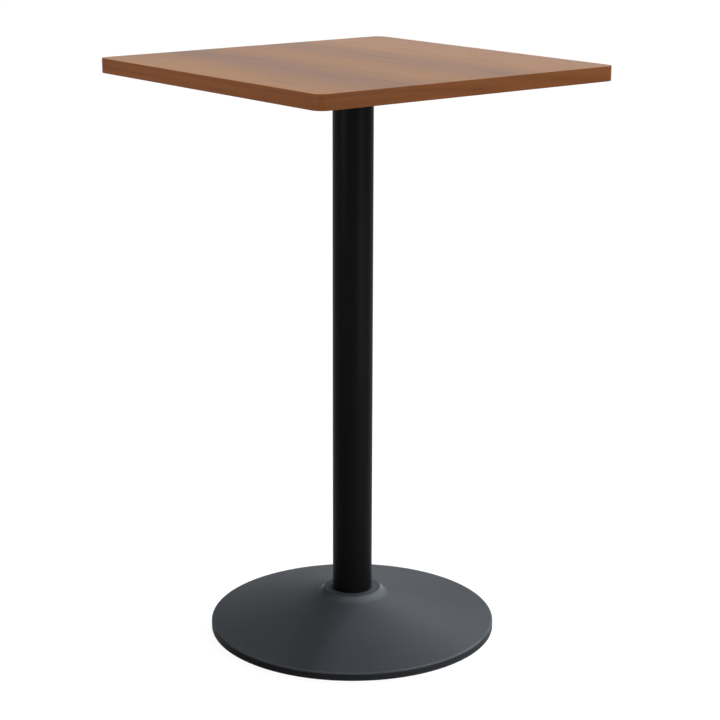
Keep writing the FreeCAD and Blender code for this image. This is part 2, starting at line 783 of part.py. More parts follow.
def export_nodes():
    """Write each node's shape to its own file."""
    os.makedirs("parts", exist_ok=True)
    for node in nodes:
        node.Shape.exportStep(os.path.join("parts", f"{node.Label}.step"))


fill_sheet(sizes, {alias: str(size) for alias, size in SIZES.items()})
doc.recompute()
fill_sheet(places, {alias: f"={expression}" for alias, expression in PLACES.items()})
doc.recompute()

make_sheets()
make_edge_band()
make_spider()
make_screws()
make_tie_rod()
make_column()
make_base()
make_glides()

doc.recompute()
check_document()
export_nodes()
for part in nodes:
    print(part.Label, len(part.Shape.Solids), round(part.Shape.Volume))
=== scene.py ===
import bmesh
import bpy
import json
import math
from mathutils import Matrix, Vector


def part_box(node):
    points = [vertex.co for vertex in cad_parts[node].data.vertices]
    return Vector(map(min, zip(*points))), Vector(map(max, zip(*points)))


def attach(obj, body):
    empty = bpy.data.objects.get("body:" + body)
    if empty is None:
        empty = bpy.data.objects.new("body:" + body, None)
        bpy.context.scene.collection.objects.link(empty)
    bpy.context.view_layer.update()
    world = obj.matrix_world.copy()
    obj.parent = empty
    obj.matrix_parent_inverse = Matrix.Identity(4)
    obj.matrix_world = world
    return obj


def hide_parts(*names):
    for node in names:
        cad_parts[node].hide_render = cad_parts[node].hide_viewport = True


# Pub table: a square walnut-look top, a black column and a round black base on levelling glides.
# Everything is in metres, in the frame's own axes: +Z up, the sides of the top along X and Y.

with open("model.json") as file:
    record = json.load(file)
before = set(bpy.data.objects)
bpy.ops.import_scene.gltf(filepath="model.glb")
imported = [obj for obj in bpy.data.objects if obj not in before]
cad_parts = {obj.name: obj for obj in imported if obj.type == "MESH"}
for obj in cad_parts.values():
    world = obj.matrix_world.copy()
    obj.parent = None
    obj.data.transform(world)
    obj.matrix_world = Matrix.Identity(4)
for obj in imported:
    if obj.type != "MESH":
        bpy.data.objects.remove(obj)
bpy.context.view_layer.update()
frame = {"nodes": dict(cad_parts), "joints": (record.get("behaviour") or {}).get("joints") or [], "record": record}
nodes = frame["nodes"]
scene = bpy.context.scene

MM = 0.001
TURN = 2 * math.pi

# Sizes that the boxes of the nodes don't give
TOP_CORNER_RADIUS = 20 * MM
BAND_THICKNESS = 2 * MM
BAND_ROUND = 1 * MM
BAND_JOINT_GAP = 0.15 * MM
COLUMN_WALL = 2 * MM
COLUMN_CHAMFER = 0.4 * MM
BOSS_RADIUS = 55 * MM
GLIDE_PITCH = 1.25 * MM
GLIDE_THREAD_DEPTH = 0.6 * MM
GLIDE_THREAD_RADIUS = 4 * MM
GLIDE_RELIEF_RADIUS = 3.3 * MM
GLIDE_RELIEF_HEIGHT = 0.6 * MM
GLIDE_COLLAR_HEIGHT = 3 * MM
GLIDE_COLLAR_CHAMFER = 0.4 * MM
GLIDE_NECK_RADIUS = 2 * MM
GLIDE_BALL_RADIUS = 3 * MM
GLIDE_RUNNING_GAP = 0.3 * MM
FOOT_CROWN_RADIUS = 8.5 * MM
FOOT_SKIRT_HEIGHT = 3.5 * MM
FOOT_ROUND = 0.9 * MM
FOOT_SLOPE_ANGLE = 65
FOOT_MOUTH_RADIUS = 2.45 * MM
FOOT_SOCKET_RADIUS = 3.1 * MM
ROD_PITCH = 1.75 * MM
ROD_THREAD_DEPTH = 0.9 * MM
ROD_THREAD_LENGTH = 36 * MM
ROD_CHAMFER = 1 * MM
HEXAGON_SIDES = 6

# Fineness of the meshes; angles are in degrees
CORNER_STEPS = 24
ROUND_STEPS = 6
BALL_STEPS = 18
BALL_POLE_ANGLE = -84
COLUMN_SEGMENTS = 160
ROD_SEGMENTS = 48
GLIDE_SEGMENTS = 48
FOOT_SEGMENTS = 64
THREAD_ROWS_PER_PITCH = 8
SHARP_ANGLE = 32

# Spans that textures are read in, and what they are turned into
RISING = (0.0, 1.0)
FALLING = (1.0, 0.0)
WIDE_SPAN = (0.2, 0.8)
MIDDLE_SPAN = (0.3, 0.7)
THREE_STOPS = (0.0, 0.5, 1.0)


def add_node(tree, kind, inputs=None, **settings):
    """A shader node with its settings made and its inputs linked or set."""
    node = tree.nodes.new(f"ShaderNode{kind}")
    for name, value in settings.items():
        setattr(node, name, value)
    for name, value in (inputs or {}).items():
        if isinstance(value, bpy.types.NodeSocket):
            tree.links.new(value, node.inputs[name])
        else:
            node.inputs[name].default_value = value
    return node


def new_material(name, metallic=0.0, specular=0.5):
    """A material with a principled shader; gives the material, its tree and the shader."""
    material = bpy.data.materials.new(name)
    material.use_nodes = True
    tree = material.node_tree
    shader = tree.nodes["Principled BSDF"]
    shader.inputs["Metallic"].default_value = metallic
    shader.inputs["Specular IOR Level"].default_value = specular
    return material, tree, shader


def set_surface(tree, shader, colour, roughness):
    """Link a colour and a roughness to a shader."""
    tree.links.new(colour, shader.inputs["Base Color"])
    tree.links.new(roughness, shader.inputs["Roughness"])


def bump(tree, shader, height, distance, strength):
    """Relief on a shader; the distance is in metres."""
    node = add_node(tree, "Bump", {"Height": height, "Distance": distance, "Strength": strength})
    tree.links.new(node.outputs["Normal"], shader.inputs["Normal"])


def place_in(tree):
    """X, Y and Z of the point being shaded, in the piece's own space."""
    coordinates = add_node(tree, "TexCoord")
    return add_node(tree, "SeparateXYZ", {"Vector": coordinates.outputs["Object"]}).outputs


def calculate(tree, operation, first, second):
    """The result of one sum on two numbers or sockets."""
    return add_node(tree, "Math", {0: first, 1: second}, operation=operation).outputs[0]


def product(tree, first, *others):
    """Numbers or sockets multiplied in turn."""
    for other in others:
        first = calculate(tree, "MULTIPLY", first, other)
    return first


def total(tree, first, *others):
    """Numbers or sockets added in turn."""
    for other in others:
        first = calculate(tree, "ADD", first, other)
    return first


def remap(tree, value, span, result):
    """A value moved from one span to another, held at the ends."""
    inputs = {"Value": value, "From Min": span[0], "From Max": span[1]}
    inputs |= {"To Min": result[0], "To Max": result[1]}
    return add_node(tree, "MapRange", inputs).outputs["Result"]


def stretched(tree, place, lengths):
    """A texture place whose features have about these lengths, in metres."""
    scaled = [calculate(tree, "DIVIDE", value, length) for value, length in zip(place, lengths)]
    return add_node(tree, "CombineXYZ", dict(zip("XYZ", scaled))).outputs[0]


def noise(tree, place, lengths, detail=2.0, roughness=0.5, distortion=0.0):
    """Soft noise from 0 to 1, with features of about these lengths."""
    inputs = {"Vector": stretched(tree, place, lengths), "Scale": 1.0}
    inputs |= {"Detail": detail, "Roughness": roughness, "Distortion": distortion}
    return add_node(tree, "TexNoise", inputs).outputs["Fac"]


def grain_noise(tree, along, across, size, layer, **settings):
    """Noise drawn out along the grain; every layer has a pattern of its own."""
    return noise(tree, (along, across, layer), (*size, 1.0), **settings)


def ramp(tree, value, places, colours, smooth=False):
    """A colour from a row of colours at these places."""
    node = add_node(tree, "ValToRGB", {"Fac": value})
    node.color_ramp.interpolation = "EASE" if smooth else "LINEAR"
    elements = node.color_ramp.elements
    while len(elements) < len(places):
        elements.new(0.5)
    for element, place, colour in zip(elements, places, colours):
        element.position = place
        element.color = (*colour, 1.0)
    return node.outputs["Color"]


def shade(tree, colour, factor):
    """A colour made lighter or darker by a factor."""
    return add_node(tree, "VectorMath", {0: colour, 1: factor}, operation="MULTIPLY").outputs[0]


def distance_from_axis(tree, x, y):
    """Distance from the upright axis through the origin."""
    flat_place = add_node(tree, "CombineXYZ", {"X": x, "Y": y}).outputs[0]
    return add_node(tree, "VectorMath", {0: flat_place}, operation="LENGTH").outputs["Value"]


# Wood: tones from dark to light, and the sizes of its features along and across the grain
TOP_TONES = ((0.156, 0.078, 0.052), (0.227, 0.107, 0.048), (0.298, 0.136, 0.044))
BAND_TONES = ((0.115, 0.036, 0.009), (0.165, 0.054, 0.014), (0.215, 0.073, 0.020))
TOP_ROUGHNESS = (0.41, 0.50)
BAND_ROUGHNESS = (0.52, 0.60)
WOOD_SPECULAR = 0.12
FIBRE_SIZE = (160 * MM, 2.8 * MM)
FIBRE_TONE = (-0.18, 0.18)
FIBRE_RELIEF = 0.4
STREAK_SIZE = (550 * MM, 16 * MM)
STREAK_SPAN = (0.25, 0.75)
STREAK_TONE = (-0.14, 0.14)
GROWTH_SIZE = (1100 * MM, 70 * MM)
GROWTH_LINES = 24
GROWTH_SHARPNESS = 2.5
GROWTH_TONE = (0.07, -0.19)
PORE_SIZE = (20 * MM, 0.7 * MM)
PORE_SPAN = (0.62, 0.74)
PORE_SHADE = (1.0, 0.72)
PORE_DEPTH = 0.05 * MM
# Broad stripes across the top, from its front left side to its back right side: place and tone
TOP_STRIPES = (
    (0.0, 0.92), (0.10, 0.74), (0.27, 0.20), (0.45, 0.72), (0.63, 0.24), (0.83, 0.66), (1.0, 0.48),
)
SWAY_SIZE = (400 * MM, 100 * MM, 1.0)
STRIPE_SWAY = (-0.085, 0.085)
BAND_DRIFT_SIZE = (120 * MM, 50 * MM)
BAND_DRIFT_TONE = (0.38, 0.58)


def add_walnut(tree, shader, tones, roughness, along, across, tone):
    """Walnut colour, gloss and relief from a place along and across the grain and a broad tone."""
    fibre = grain_noise(tree, along, across, FIBRE_SIZE, layer=0.0, detail=5.0, roughness=0.62)
    streak = grain_noise(tree, along, across, STREAK_SIZE, layer=3.0, detail=3.0, distortion=0.4)
    pores = grain_noise(tree, along, across, PORE_SIZE, layer=7.0, detail=1.0)
    growth = grain_noise(tree, along, across, GROWTH_SIZE, layer=11.0, detail=1.0, roughness=0.4)
    pore = remap(tree, pores, PORE_SPAN, RISING)
    wave = calculate(tree, "PINGPONG", product(tree, growth, GROWTH_LINES), 1.0)
    ring = calculate(tree, "POWER", wave, GROWTH_SHARPNESS)
    figure = total(
        tree,
        tone,
        remap(tree, streak, STREAK_SPAN, STREAK_TONE),
        remap(tree, fibre, WIDE_SPAN, FIBRE_TONE),
        remap(tree, ring, RISING, GROWTH_TONE),
    )
    colour = ramp(tree, figure, THREE_STOPS, tones)
    colour = shade(tree, colour, remap(tree, pore, RISING, PORE_SHADE))
    set_surface(tree, shader, colour, remap(tree, fibre, WIDE_SPAN, roughness))
    relief = calculate(tree, "SUBTRACT", product(tree, fibre, FIBRE_RELIEF), pore)
    bump(tree, shader, relief, PORE_DEPTH, strength=0.5)


def walnut_laminate():
    """Face of the top: straight walnut grain along X in soft broad stripes."""
    material, tree, shader = new_material("walnut_laminate", specular=WOOD_SPECULAR)
    x, y, z = place_in(tree)
    low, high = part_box("top_laminate")
    sway = noise(tree, (x, y, z), SWAY_SIZE)
    place = remap(tree, y, (low.y, high.y), RISING)
    place = total(tree, place, remap(tree, sway, RISING, STRIPE_SWAY))
    stops, values = zip(*TOP_STRIPES)
    tone = ramp(tree, place, stops, [(value,) * 3 for value in values], smooth=True)
    add_walnut(tree, shader, TOP_TONES, TOP_ROUGHNESS, x, y, tone)
    return material


def walnut_edge_band():
    """Edge band: the same wood, its grain running round the top."""
    material, tree, shader = new_material("walnut_edge_band", specular=WOOD_SPECULAR)
    x, y, z = place_in(tree)
    along = total(tree, x, y)
    drift = grain_noise(tree, along, z, BAND_DRIFT_SIZE, layer=0.0)
    tone = remap(tree, drift, WIDE_SPAN, BAND_DRIFT_TONE)
    add_walnut(tree, shader, BAND_TONES, BAND_ROUGHNESS, along, z, tone)
    return material


# Board and sheet
BOARD_SPECULAR = 0.2
CHIP_SIZE = (6 * MM, 4 * MM, 1.5 * MM)
CHIP_TONES = ((0.22, 0.13, 0.06), (0.42, 0.28, 0.14), (0.60, 0.44, 0.26))
CHIP_ROUGHNESS = (0.7, 0.9)
CHIP_DEPTH = 0.3 * MM
PAPER_SIZE = (4 * MM,) * 3
PAPER_CLOUD_SIZE = (120 * MM,) * 3
PAPER_SHARE = 0.6
CLOUD_SHARE = 0.4
PAPER_TONES = ((0.030, 0.017, 0.010), (0.052, 0.031, 0.019))
PAPER_ROUGHNESS = (0.55, 0.68)
PAPER_DEPTH = 0.06 * MM


def particle_board():
    """Core: pressed wood chips."""
    material, tree, shader = new_material("particle_board", specular=BOARD_SPECULAR)
    vector = stretched(tree, place_in(tree), CHIP_SIZE)
    chips = add_node(tree, "TexVoronoi", {"Vector": vector, "Scale": 1.0}).outputs
    chip = add_node(tree, "SeparateColor", {"Color": chips["Color"]}).outputs["Red"]
    colour = ramp(tree, chip, THREE_STOPS, CHIP_TONES)
    set_surface(tree, shader, colour, remap(tree, chip, RISING, CHIP_ROUGHNESS))
    bump(tree, shader, chips["Distance"], CHIP_DEPTH, strength=0.6)
    return material


def backing_sheet():
    """Balancing sheet under the top: matt brown paper pressed in resin."""
    material, tree, shader = new_material("backing_sheet", specular=BOARD_SPECULAR)
    place = place_in(tree)
    paper = noise(tree, place, PAPER_SIZE, detail=5.0, roughness=0.7)
    cloud = noise(tree, place, PAPER_CLOUD_SIZE)
    mixed = total(tree, product(tree, paper, PAPER_SHARE), product(tree, cloud, CLOUD_SHARE))
    colour = ramp(tree, mixed, MIDDLE_SPAN, PAPER_TONES)
    set_surface(tree, shader, colour, remap(tree, paper, MIDDLE_SPAN, PAPER_ROUGHNESS))
    bump(tree, shader, paper, PAPER_DEPTH, strength=0.5)
    return material


# Coats of the castings and the column
CASTING_SPECULAR = 0.012
CASTING_TONES = ((0.0282, 0.0294, 0.0312), (0.0312, 0.0325, 0.0344))
CASTING_ROUGHNESS = (0.44, 0.50)
CASTING_GRAIN_SIZE = (1.3 * MM,) * 3
CASTING_GRAIN_SHADE = (0.9, 1.1)
CASTING_GRAIN_DEPTH = 0.08 * MM
CASTING_CLOUD_SIZE = (90 * MM,) * 3
# Painted highlight: how many times lighter the coat's colour is in the cove and on the rim's edge
PAINTED_HIGHLIGHT_TONE = 2.2
WORN_ROUGHNESS = 0.36
WEAR_AND_HIGHLIGHT_SPAN = (0.3, 0.6)
WEAR_AND_HIGHLIGHT_PATCHES = (0.6, 1.0)
TUBE_SPECULAR = 0.028
TUBE_TONES = ((0.0024, 0.0024, 0.0026), (0.0032, 0.0032, 0.0034))
TUBE_ROUGHNESS = (0.37, 0.42)
TUBE_PEEL_SIZE = (2.2 * MM,) * 3
TUBE_PEEL_DEPTH = 0.03 * MM
TUBE_CLOUD_SIZE = (50 * MM, 50 * MM, 300 * MM)
# Where the base wears and is lighter with a painted highlight: outward of its boss or its rim, and upward of its
# top or its bottom
COVE_INNER = (-1.4 * MM, -0.4 * MM)
COVE_OUTER = (3 * MM, 15 * MM)
COVE_HEIGHT = (-18 * MM, -14 * MM)
RIM_EDGE = (-4 * MM, -2.5 * MM)
RIM_EDGE_HEIGHT = (11.5 * MM, 12.5 * MM)
ABOVE_BASE = (2 * MM, 4 * MM)


def span_from(start, offsets):
    """A span given by its ends' distances from a place."""
    return start + offsets[0], start + offsets[1]


def wear_and_highlight_of_base(tree, place):
    """How much the base's coat wears, which also sets where a highlight is painted into its colour: on the rim's
    upper edge and in the cove round the boss.
    """
    x, y, z = place
    low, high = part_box("base_casting")
    reach = distance_from_axis(tree, x, y)
    cove = product(
        tree,
        remap(tree, reach, span_from(BOSS_RADIUS, COVE_INNER), RISING),
        remap(tree, reach, span_from(BOSS_RADIUS, COVE_OUTER), FALLING),
        remap(tree, z, span_from(high.z, COVE_HEIGHT), RISING),
    )
    rim_edge = product(
        tree,
        remap(tree, reach, span_from(high.x, RIM_EDGE), RISING),
        remap(tree, z, span_from(low.z, RIM_EDGE_HEIGHT), RISING),
    )
    either = calculate(tree, "MAXIMUM", cove, rim_edge)
    return product(tree, either, remap(tree, z, span_from(high.z, ABOVE_BASE), FALLING))


def black_casting():
    """Powder-coated casting: charcoal and finely textured, smoother where it wears, and lighter there with a
    painted highlight.
    """
    material, tree, shader = new_material("black_casting", specular=CASTING_SPECULAR)
    place = place_in(tree)
    grain = noise(tree, place, CASTING_GRAIN_SIZE, detail=3.0, roughness=0.6)
    cloud = noise(tree, place, CASTING_CLOUD_SIZE, detail=3.0)
    # Mask of wear and of the painted highlight, broken into patches
    wear_and_highlight = product(tree, wear_and_highlight_of_base(tree, place), remap(tree, cloud, WEAR_AND_HIGHLIGHT_SPAN, WEAR_AND_HIGHLIGHT_PATCHES))
    colour = ramp(tree, cloud, MIDDLE_SPAN, CASTING_TONES)
    colour = shade(tree, colour, remap(tree, grain, MIDDLE_SPAN, CASTING_GRAIN_SHADE))
    # Painted highlight: the cove round the boss and the rim's upper edge are made lighter in colour
    colour = shade(tree, colour, remap(tree, wear_and_highlight, RISING, (1.0, PAINTED_HIGHLIGHT_TONE)))
    coat = remap(tree, cloud, MIDDLE_SPAN, CASTING_ROUGHNESS)
    smoothed = product(tree, wear_and_highlight, calculate(tree, "SUBTRACT", coat, WORN_ROUGHNESS))
    set_surface(tree, shader, colour, calculate(tree, "SUBTRACT", coat, smoothed))
    bump(tree, shader, grain, CASTING_GRAIN_DEPTH, strength=0.35)
    return material


def black_tube():
    """Column: smooth, nearly black satin powder coat."""
    material, tree, shader = new_material("black_tube", specular=TUBE_SPECULAR)
    place = place_in(tree)
    peel = noise(tree, place, TUBE_PEEL_SIZE, detail=1.5)
    cloud = noise(tree, place, TUBE_CLOUD_SIZE, detail=3.0)
    colour = ramp(tree, cloud, MIDDLE_SPAN, TUBE_TONES)
    set_surface(tree, shader, colour, remap(tree, cloud, MIDDLE_SPAN, TUBE_ROUGHNESS))
    bump(tree, shader, peel, TUBE_PEEL_DEPTH, strength=0.2)
    return material


# Fasteners and feet
ZINC_CAST_SIZE = (6 * MM,) * 3
ZINC_STOPS = (0.3, 0.5, 0.7)
ZINC_TONES = ((0.50, 0.50, 0.44), (0.56, 0.56, 0.54), (0.50, 0.54, 0.58))
ZINC_ROUGHNESS = (0.26, 0.42)
SCRATCH_SIZE = (0.4 * MM, 0.4 * MM, 3 * MM)
SCRATCH_DEPTH = 0.02 * MM
NYLON_SPECULAR = 0.35
NYLON_GRAIN_SIZE = (0.5 * MM,) * 3
NYLON_GRAIN_DEPTH = 0.04 * MM
NYLON_TONES = ((0.012, 0.012, 0.013), (0.070, 0.068, 0.065))
NYLON_ROUGHNESS = (0.42, 0.58)
SCUFF_HEIGHT = 2 * MM


def zinc_steel():
    """Fasteners: bright zinc plate with a faint yellow and blue cast."""
    material, tree, shader = new_material("zinc_steel", metallic=1.0)
    place = place_in(tree)
    cast = noise(tree, place, ZINC_CAST_SIZE)
    scratch = noise(tree, place, SCRATCH_SIZE, detail=3.0, roughness=0.65)
    colour = ramp(tree, cast, ZINC_STOPS, ZINC_TONES)
    set_surface(tree, shader, colour, remap(tree, scratch, MIDDLE_SPAN, ZINC_ROUGHNESS))
    bump(tree, shader, scratch, SCRATCH_DEPTH, strength=0.4)
    return material


def black_nylon():
    """Feet of the glides: moulded nylon, scuffed near the floor."""
    material, tree, shader = new_material("black_nylon", specular=NYLON_SPECULAR)
    x, y, z = place_in(tree)
    grain = noise(tree, (x, y, z), NYLON_GRAIN_SIZE, detail=3.0)
    scuff = product(tree, remap(tree, z, (0.0, SCUFF_HEIGHT), FALLING), grain)
    colour = ramp(tree, scuff, RISING, NYLON_TONES)
    set_surface(tree, shader, colour, remap(tree, grain, MIDDLE_SPAN, NYLON_ROUGHNESS))
    bump(tree, shader, grain, NYLON_GRAIN_DEPTH, strength=0.4)
    return material


materials = {
    "walnut_laminate": walnut_laminate(),
    "walnut_edge_band": walnut_edge_band(),
    "particle_board": particle_board(),
    "backing_sheet": backing_sheet(),
    "black_casting": black_casting(),
    "black_tube": black_tube(),
    "zinc_steel": zinc_steel(),
    "black_nylon": black_nylon(),
}


def dress_nodes():
    """Give every CAD node the material of its slot."""
    for part in frame["record"]["subparts"]:
        slots = nodes[part["node"]].data.materials
        slots.clear()
        slots.append(materials[part["material_slot"]])


def finish_piece(name, mesh, slot, body, *replaced):
    """Make a piece of a built mesh: smooth but for its sharp edges, riding on a body."""
    bmesh.ops.recalc_face_normals(mesh, faces=mesh.faces)
    data = bpy.data.meshes.new(name)
    mesh.to_mesh(data)
    mesh.free()
    data.shade_smooth()
    data.set_sharp_from_angle(angle=math.radians(SHARP_ANGLE))
    data.materials.append(materials[slot])
    piece = bpy.data.objects.new(name, data)
    scene.collection.objects.link(piece)
    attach(piece, body)
    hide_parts(*replaced)


def joined(mesh, first, second):
    """Faces between two rows of points; a row of one point is the tip of a fan."""
    count = max(len(first), len(second))
    for step in range(count):
        after = (step + 1) % count
        corners = (first[step % len(first)], first[after % len(first)],
                   second[after % len(second)], second[step % len(second)])
        mesh.faces.new(dict.fromkeys(corners))


def turned(rings, segments, centre=(0.0, 0.0), closed=False):
    """A mesh of rings about an upright axis.

    A ring is a height and a radius, and the radius may be a function of angle and height. A
    ring of radius zero is one point. In a closed mesh the last ring meets the first.
    """
    mesh = bmesh.new()
    rows = []
    for height, radius in rings:
        row = []
        for step in range(segments if radius else 1):
            angle = step * TURN / segments
            reach = radius(angle, height) if callable(radius) else radius
            point = (centre[0] + reach * math.cos(angle), centre[1] + reach * math.sin(angle), height)
            row.append(mesh.verts.new(point))
        rows.append(row)
    for first, second in zip(rows, rows[1:]):
        joined(mesh, first, second)
    if closed:
        joined(mesh, rows[-1], rows[0])
    return mesh


def arc(centre, radius, start, end, steps):
    """Points on an arc as pairs, from one angle in degrees to another."""
    for step in range(steps + 1):
        angle = math.radians(start + (end - start) * step / steps)
        yield centre[0] + radius * math.cos(angle), centre[1] + radius * math.sin(angle)


def hexagon(across_flats):
    """Radius function of a hexagon."""
    side = TURN / HEXAGON_SIDES

    def radius(angle, height):
        off_flat = (angle % side) - side / 2
        return across_flats / 2 / math.cos(off_flat)

    return radius


def thread(outer, depth, pitch):
    """Radius function of a right-hand thread with rounded crests and roots."""
    def radius(angle, height):
        phase = TURN * height / pitch - angle
        return outer - depth * (1 - math.cos(phase)) / 2

    return radius


def thread_rings(low, high, outer, depth, pitch):
    """Rings of a thread, close enough to show its crests."""
    count = round((high - low) / pitch * THREAD_ROWS_PER_PITCH)
    profile = thread(outer, depth, pitch)
    return [(low + (high - low) * row / count, profile) for row in range(count + 1)]


def make_edge_band():
    """The edge band as one strip bent round the top, its ends meeting at the back."""
    low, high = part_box("edge_band")
    inset_points = [(BAND_THICKNESS, low.z)]
    inset_points += arc((BAND_ROUND, low.z + BAND_ROUND), BAND_ROUND, 270, 180, ROUND_STEPS)
    inset_points += arc((BAND_ROUND, high.z - BAND_ROUND), BAND_ROUND, 180, 90, ROUND_STEPS)
    inset_points += [(BAND_THICKNESS, high.z)]
    straight = high.x - TOP_CORNER_RADIUS
    backward = Vector((0.0, 1.0, 0.0))
    stations = [(Vector((-BAND_JOINT_GAP / 2, high.y, 0.0)), backward)]
    for start in (90, 180, 270, 360):
        middle = Vector((1.0, 1.0, 0.0)) * straight
        middle.rotate(Matrix.Rotation(math.radians(start), 3, "Z"))
        for x, y in arc((0.0, 0.0), 1.0, start, start + 90, CORNER_STEPS):
            outward = Vector((x, y, 0.0))
            stations.append((middle + outward * TOP_CORNER_RADIUS, outward))
    stations.append((Vector((BAND_JOINT_GAP / 2, high.y, 0.0)), backward))
    mesh = bmesh.new()
    rows = []
    for point, outward in stations:
        row = []
        for inset, height in inset_points:
            place = point - outward * inset
            row.append(mesh.verts.new((place.x, place.y, height)))
        rows.append(row)
    for first, second in zip(rows, rows[1:]):
        joined(mesh, first, second)
    mesh.faces.new(rows[0])
    mesh.faces.new(rows[-1])
    finish_piece("edge_band_strip", mesh, "walnut_edge_band", "table", "edge_band")


def make_column():
    """The column as a tube with broken edges."""
    low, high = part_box("column_tube")
    outer = high.y
    inner = outer - COLUMN_WALL
    cut = COLUMN_CHAMFER
    rings = [
        (low.z, outer - cut), (low.z + cut, outer), (high.z - cut, outer), (high.z, outer - cut),
        (high.z, inner + cut), (high.z - cut, inner), (low.z + cut, inner), (low.z, inner + cut),
    ]
    mesh = turned(rings, COLUMN_SEGMENTS, closed=True)
    finish_piece("column_skin", mesh, "black_tube", "table", "column_tube")


def make_tie_rod():
    """The tie rod with rolled threads at both ends."""
    low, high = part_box("tie_rod")
    radius = high.y
    tip = radius - ROD_CHAMFER
    lower_thread = (low.z + ROD_CHAMFER, low.z + ROD_THREAD_LENGTH)
    upper_thread = (high.z - ROD_THREAD_LENGTH, high.z - ROD_CHAMFER)
    rings = [(low.z, 0.0), (low.z, tip)]
    for bottom, top in (lower_thread, upper_thread):
        rings += thread_rings(bottom, top, radius, ROD_THREAD_DEPTH, ROD_PITCH)
    rings += [(high.z, tip), (high.z, 0.0)]
    mesh = turned(rings, ROD_SEGMENTS)
    finish_piece("tie_rod_threaded", mesh, "zinc_steel", "table", "tie_rod")


def make_glide_stem(number, centre):
    """A glide's stem: ball, neck, hexagonal collar and thread in one turned piece."""
    node = f"glide_stem_{number}"
    low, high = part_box(node)
    ball = low.z + GLIDE_BALL_RADIUS
    flats = high.y - low.y
    chamfer_circle = flats / 2 - GLIDE_COLLAR_CHAMFER
    neck_angle = math.degrees(math.acos(GLIDE_NECK_RADIUS / GLIDE_BALL_RADIUS))
    rings = [(low.z, 0.0)]
    for reach, height in arc((0.0, ball), GLIDE_BALL_RADIUS, BALL_POLE_ANGLE, neck_angle, BALL_STEPS):
        rings.append((height, reach))
    foot_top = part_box(f"glide_foot_{number}")[1].z
    collar_low = foot_top + GLIDE_RUNNING_GAP
    collar_high = collar_low + GLIDE_COLLAR_HEIGHT
    full = hexagon(flats)
    rings += [
        (collar_low, GLIDE_NECK_RADIUS),
        (collar_low, chamfer_circle),
        (collar_low + GLIDE_COLLAR_CHAMFER, full),
        (collar_high - GLIDE_COLLAR_CHAMFER, full),
        (collar_high, chamfer_circle),
        (collar_high, GLIDE_RELIEF_RADIUS),
        (collar_high + GLIDE_RELIEF_HEIGHT, GLIDE_RELIEF_RADIUS),
    ]
    rings += thread_rings(collar_high + 2 * GLIDE_RELIEF_HEIGHT, high.z - GLIDE_THREAD_DEPTH,
                          GLIDE_THREAD_RADIUS, GLIDE_THREAD_DEPTH, GLIDE_PITCH)
    rings += [(high.z, GLIDE_RELIEF_RADIUS - GLIDE_THREAD_DEPTH), (high.z, 0.0)]
    mesh = turned(rings, GLIDE_SEGMENTS, centre)
    finish_piece(f"{node}_threaded", mesh, "zinc_steel", node, node)


def make_glide_foot(number, centre):
    """A glide's moulded foot with rounded edges and the socket of its ball."""
    node = f"glide_foot_{number}"
    low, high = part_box(node)
    reach = (high.y - low.y) / 2
    edge = FOOT_ROUND
    skirt = low.z + FOOT_SKIRT_HEIGHT
    outline = [(0.0, low.z)]
    outline += arc((reach - edge, low.z + edge), edge, 270, 360, ROUND_STEPS)
    outline += arc((reach - edge, skirt - edge), edge, 0, FOOT_SLOPE_ANGLE, ROUND_STEPS)
    outline += arc((FOOT_CROWN_RADIUS - edge, high.z - edge), edge, FOOT_SLOPE_ANGLE, 90, ROUND_STEPS)
    ball = high.z - math.sqrt(FOOT_SOCKET_RADIUS ** 2 - FOOT_MOUTH_RADIUS ** 2)
    mouth_angle = math.degrees(math.acos(FOOT_MOUTH_RADIUS / FOOT_SOCKET_RADIUS))
    outline += arc((0.0, ball), FOOT_SOCKET_RADIUS, mouth_angle, BALL_POLE_ANGLE, BALL_STEPS)
    outline.append((0.0, ball - FOOT_SOCKET_RADIUS))
    mesh = turned([(height, radius) for radius, height in outline], FOOT_SEGMENTS, centre)
    finish_piece(f"{node}_moulded", mesh, "black_nylon", node, node)


dress_nodes()
make_edge_band()
make_column()
make_tie_rod()
turning_joints = [joint for joint in frame["joints"] if joint["type"] == "hinge"]
for number, joint in enumerate(turning_joints, start=1):
    make_glide_stem(number, joint["pos_m"][:2])
    make_glide_foot(number, joint["pos_m"][:2])

# Camera, fitted to the outlines in the photograph; angles are in degrees
CAMERA_AZIMUTH = 51.51
CAMERA_DISTANCE = 3.4825
CAMERA_HEIGHT = 1.4893
CAMERA_YAW = -0.228
CAMERA_PITCH = 15.276
CAMERA_ROLL = 0.176
CAMERA_SENSOR = 36.0
IMAGE_WIDTH = 720
FOCAL_PIXELS = 1906.69


def towards(azimuth):
    """Level direction from the table at an azimuth in degrees, counted from its front to its right."""
    angle = math.radians(azimuth)
    return Vector((math.sin(angle), -math.cos(angle), 0.0))


def make_camera():
    """A camera at the photograph's viewing angle."""
    data = bpy.data.cameras.new("camera")
    data.sensor_fit = "HORIZONTAL"
    data.sensor_width = CAMERA_SENSOR
    data.lens = FOCAL_PIXELS / IMAGE_WIDTH * CAMERA_SENSOR
    camera = bpy.data.objects.new("camera", data)
    place = towards(CAMERA_AZIMUTH) * CAMERA_DISTANCE
    place.z = CAMERA_HEIGHT
    heading = Matrix.Rotation(math.radians(CAMERA_AZIMUTH + CAMERA_YAW), 4, "Z")
    tilt = Matrix.Rotation(math.radians(90 - CAMERA_PITCH), 4, "X")
    roll = Matrix.Rotation(math.radians(CAMERA_ROLL), 4, "Z")
    camera.matrix_world = Matrix.Translation(place) @ heading @ tilt @ roll
    scene.collection.objects.link(camera)
    scene.camera = camera


